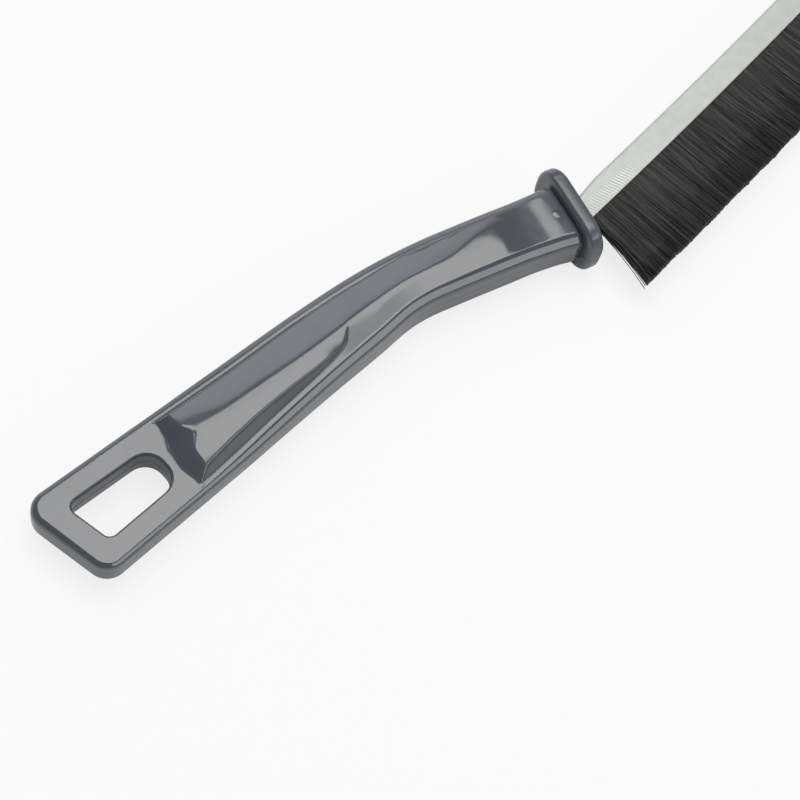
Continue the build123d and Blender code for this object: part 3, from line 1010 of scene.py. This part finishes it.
def new_material(name):
    """A material, its node tree, its shader and the coordinates that its patterns follow."""
    material = bpy.data.materials.new(name)
    tree = cleared_tree(material)
    shader = tree.nodes.new("ShaderNodeBsdfPrincipled")
    output = tree.nodes.new("ShaderNodeOutputMaterial")
    tree.links.new(shader.outputs["BSDF"], output.inputs["Surface"])
    where = tree.nodes.new("ShaderNodeTexCoord")
    return material, tree, shader, where.outputs["Object"]


def noise(tree, where, scale, detail=NOISE_DETAIL):
    node = tree.nodes.new("ShaderNodeTexNoise")
    node.inputs["Scale"].default_value = scale
    node.inputs["Detail"].default_value = detail
    node.inputs["Roughness"].default_value = NOISE_ROUGHNESS
    tree.links.new(where, node.inputs["Vector"])
    return node.outputs["Fac"]


def value_range(tree, source, low, high, source_low=0.0, source_high=1.0):
    """A source's range turned into another."""
    node = tree.nodes.new("ShaderNodeMapRange")
    node.inputs["From Min"].default_value = source_low
    node.inputs["From Max"].default_value = source_high
    node.inputs["To Min"].default_value = low
    node.inputs["To Max"].default_value = high
    tree.links.new(source, node.inputs["Value"])
    return node.outputs["Result"]


def combined(tree, operation, first, second):
    """The sum, product or highest of a source and another source or a number."""
    node = tree.nodes.new("ShaderNodeMath")
    node.operation = operation
    tree.links.new(first, node.inputs[0])
    if isinstance(second, float):
        node.inputs[1].default_value = second
    else:
        tree.links.new(second, node.inputs[1])
    return node.outputs[0]


def with_vector(tree, operation, where, vector):
    """The outputs of a sum on coordinates and a fixed vector."""
    node = tree.nodes.new("ShaderNodeVectorMath")
    node.operation = operation
    node.inputs[1].default_value = vector
    tree.links.new(where, node.inputs[0])
    return node.outputs


def add_tint(tree, shader, source, stops):
    """Colour a shader by a source, through a ramp between two stops."""
    node = tree.nodes.new("ShaderNodeValToRGB")
    for element, (place, colour) in zip(node.color_ramp.elements, stops):
        element.position = place
        element.color = (*colour, 1)
    tree.links.new(source, node.inputs["Fac"])
    tree.links.new(node.outputs["Color"], shader.inputs["Base Color"])


def add_bump(tree, shader, source, strength, depth):
    node = tree.nodes.new("ShaderNodeBump")
    node.inputs["Strength"].default_value = strength
    node.inputs["Distance"].default_value = depth
    tree.links.new(source, node.inputs["Height"])
    tree.links.new(node.outputs["Normal"], shader.inputs["Normal"])


def plastic_material():
    """Glossy grey plastic, duller from the collar's fillet on."""
    material, tree, shader, where = new_material("moulded_grey_plastic")
    add_tint(tree, shader, noise(tree, where, PLASTIC_TINT_SCALE), PLASTIC_TINTS)
    rough = value_range(tree, noise(tree, where, PLASTIC_GRAIN_SCALE), *PLASTIC_ROUGHNESS)
    along = with_vector(tree, "DOT_PRODUCT", where, neck_along)["Value"]
    collar_start = float(to_frame(neck_end) @ neck_along)
    fillet_start = collar_start - COLLAR_FILLET * MM
    collar = value_range(tree, along, 0.0, COLLAR_EXTRA_ROUGHNESS, fillet_start, collar_start)
    tree.links.new(combined(tree, "ADD", rough, collar), shader.inputs["Roughness"])
    shader.inputs["IOR"].default_value = PLASTIC_IOR
    swell = noise(tree, where, PLASTIC_SWELL_SCALE, PLASTIC_SWELL_DETAIL)
    add_bump(tree, shader, swell, *PLASTIC_BUMP)
    return material


def zinc_material():
    material, tree, shader, where = new_material("galvanised_strip")
    add_tint(tree, shader, noise(tree, where, ZINC_TINT_SCALE), ZINC_TINTS)
    shader.inputs["Metallic"].default_value = ZINC_METALLIC
    grain = noise(tree, where, ZINC_GRAIN_SCALE)
    tree.links.new(value_range(tree, grain, *ZINC_ROUGHNESS), shader.inputs["Roughness"])
    add_bump(tree, shader, grain, *ZINC_BUMP)
    return material


def nylon_material():
    """Black nylon with paler streaks along the filaments: partly a tone that varies at random, partly
    painted sheen.
    """
    material, tree, shader, where = new_material("black_nylon")
    stretched = with_vector(tree, "MULTIPLY", where, STREAK_STRETCH)["Vector"]
    # Paler streaks along the filaments: partly a random tone, partly painted sheen
    add_tint(tree, shader, noise(tree, stretched, STREAK_SCALE), NYLON_TONES_AND_SHEEN)
    grain = noise(tree, where, NYLON_GRAIN_SCALE)
    tree.links.new(value_range(tree, grain, *NYLON_ROUGHNESS), shader.inputs["Roughness"])
    return material


def wire_material():
    material, tree, shader, where = new_material("drawn_wire")
    cloud = noise(tree, where, WIRE_TINT_SCALE)
    add_tint(tree, shader, cloud, WIRE_TINTS)
    shader.inputs["Metallic"].default_value = 1.0
    tree.links.new(value_range(tree, cloud, *WIRE_ROUGHNESS), shader.inputs["Roughness"])
    return material


# Studio, in metres: the floor, the lamps' height, and a dark ceiling above them
FLOOR_HALF = 3.0
FLOOR_COLOUR = (0.8, 0.81, 0.82, 1)
LAMP_HEIGHT = 2.0
CEILING_HALF = 30.0
CEILING_GAP = 0.1
CEILING_COLOUR = (0.02, 0.02, 0.02, 1)
WHITE = (1, 1, 1, 1)
FILL_STRENGTH = 0.25

# How much of the floor's shadow is seen, and how much of its white shows in gloss
SHADOW_SHARE = 0.2
GLOSS_SHARE = 0.2

# Lamps: the directions that each fills along x and y, in degrees off the vertical, its radiance and colour
LAMPS = (
    ("key_lamp", (-13, 30), (-10, 22.5), 3.8, (1.0, 0.975, 0.95)),
    ("key_edge_lamp", (-13, 30), (-21, -10), 2.2, (1.0, 0.975, 0.95)),
    ("strip_lamp", (-25, 50), (-62, -45), 2.5, (1.0, 1.0, 1.0)),
    ("cool_lamp", (-15, 52), (30, 56), 1.85, (0.93, 0.97, 1.0)),
)


def new_sheet(name, half, height, corners):
    """A square sheet of the studio."""
    data = bpy.data.meshes.new(name)
    spots = [(-half, -half, height), (half, -half, height), (half, half, height), (-half, half, height)]
    data.from_pydata(spots, [], [corners])
    sheet = bpy.data.objects.new(name, data)
    bpy.context.scene.collection.objects.link(sheet)
    return sheet


def seen_directly(tree, gloss_share):
    """Where the camera looks at a surface, itself or through glass, and for a share where gloss does."""
    rays = tree.nodes.new("ShaderNodeLightPath")
    gloss = combined(tree, "MULTIPLY", rays.outputs["Is Glossy Ray"], gloss_share)
    shown = combined(tree, "MAXIMUM", rays.outputs["Is Camera Ray"], gloss)
    return combined(tree, "MAXIMUM", shown, rays.outputs["Is Transmission Ray"])


def add_mix(tree, mask, first, second, output_type):
    """A mix of two shaders by a mask, as the tree's output."""
    mix = tree.nodes.new("ShaderNodeMixShader")
    output = tree.nodes.new(output_type)
    tree.links.new(mask, mix.inputs["Fac"])
    tree.links.new(first.outputs[0], mix.inputs[1])
    tree.links.new(second.outputs[0], mix.inputs[2])
    tree.links.new(mix.outputs[0], output.inputs["Surface"])


def make_floor():
    floor = new_sheet("floor", FLOOR_HALF, 0.0, (0, 1, 2, 3))
    material = bpy.data.materials.new("pale_floor")
    tree = cleared_tree(material)
    matte = tree.nodes.new("ShaderNodeBsdfDiffuse")
    matte.inputs["Color"].default_value = FLOOR_COLOUR
    glow = tree.nodes.new("ShaderNodeEmission")
    glow.inputs["Color"].default_value = WHITE
    mask = combined(tree, "MULTIPLY", seen_directly(tree, GLOSS_SHARE), 1 - SHADOW_SHARE)
    add_mix(tree, mask, matte, glow, "ShaderNodeOutputMaterial")
    floor.data.materials.append(material)


def make_world():
    world = bpy.data.worlds.new("studio")
    bpy.context.scene.world = world
    tree = cleared_tree(world)
    fill = tree.nodes.new("ShaderNodeBackground")
    white = tree.nodes.new("ShaderNodeBackground")
    for background, strength in ((fill, FILL_STRENGTH), (white, 1.0)):
        background.inputs["Color"].default_value = WHITE
        background.inputs["Strength"].default_value = strength
    add_mix(tree, seen_directly(tree, 1.0), fill, white, "ShaderNodeOutputWorld")


def make_ceiling():
    """A dark ceiling above the lamps, seen only in gloss."""
    ceiling = new_sheet("ceiling", CEILING_HALF, LAMP_HEIGHT + CEILING_GAP, (0, 3, 2, 1))
    material = bpy.data.materials.new("dark_ceiling")
    material.use_nodes = True
    material.node_tree.nodes["Principled BSDF"].inputs["Base Color"].default_value = CEILING_COLOUR
    ceiling.data.materials.append(material)
    ceiling.visible_camera = False
    ceiling.visible_diffuse = False
    ceiling.visible_shadow = False
    ceiling.visible_transmission = False


def make_lamp(name, x_angles, y_angles, radiance, colour):
    """A soft overhead lamp that fills a range of directions."""
    x_low, x_high = (LAMP_HEIGHT * tan(radians(angle)) for angle in x_angles)
    y_low, y_high = (LAMP_HEIGHT * tan(radians(angle)) for angle in y_angles)
    lamp = bpy.data.lights.new(name, "AREA")
    lamp.shape = "RECTANGLE"
    lamp.size = x_high - x_low
    lamp.size_y = y_high - y_low
    lamp.energy = radiance * pi * lamp.size * lamp.size_y
    lamp.color = colour
    holder = bpy.data.objects.new(name, lamp)
    holder.location = ((x_low + x_high) / 2, (y_low + y_high) / 2, LAMP_HEIGHT)
    bpy.context.scene.collection.objects.link(holder)


def make_camera():
    offset = Vector((
        cos(CAMERA_AZIMUTH) * sin(CAMERA_TILT),
        sin(CAMERA_AZIMUTH) * sin(CAMERA_TILT),
        cos(CAMERA_TILT),
    ))
    data = bpy.data.cameras.new("camera")
    data.lens = CAMERA_LENS
    data.sensor_width = SENSOR_WIDTH
    data.clip_start = CAMERA_NEAR
    camera = bpy.data.objects.new("camera", data)
    camera.location = Vector(to_frame(CAMERA_AIM)) + offset * CAMERA_DISTANCE
    facing = offset.to_track_quat("Z", "Y").to_matrix().to_4x4()
    placed = Matrix.Translation(camera.location) @ facing
    camera.matrix_world = placed @ Matrix.Rotation(CAMERA_ROLL, 4, "Z")
    bpy.context.scene.collection.objects.link(camera)
    bpy.context.scene.camera = camera


plastic = plastic_material()
zinc = zinc_material()
nylon = nylon_material()
wire = wire_material()

for maker, node, slot, material in (
    (make_handle, "handle", "handle_plastic", plastic),
    (make_pin, "retaining_pin", "pin_plastic", plastic),
    (make_channel, "brush_channel", "channel_steel", zinc),
    (make_bristles, "bristles", "bristle_nylon", nylon),
):
    piece = maker()
    piece.data.materials.append(material)
    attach(piece, "root")
    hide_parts(node)

core_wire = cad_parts["core_wire"]
core_wire.data.materials.clear()
core_wire.data.materials.append(wire)

make_camera()
make_floor()
make_world()
make_ceiling()
for lamp in LAMPS:
    make_lamp(*lamp)
bpy.context.scene.view_settings.view_transform = "Standard"
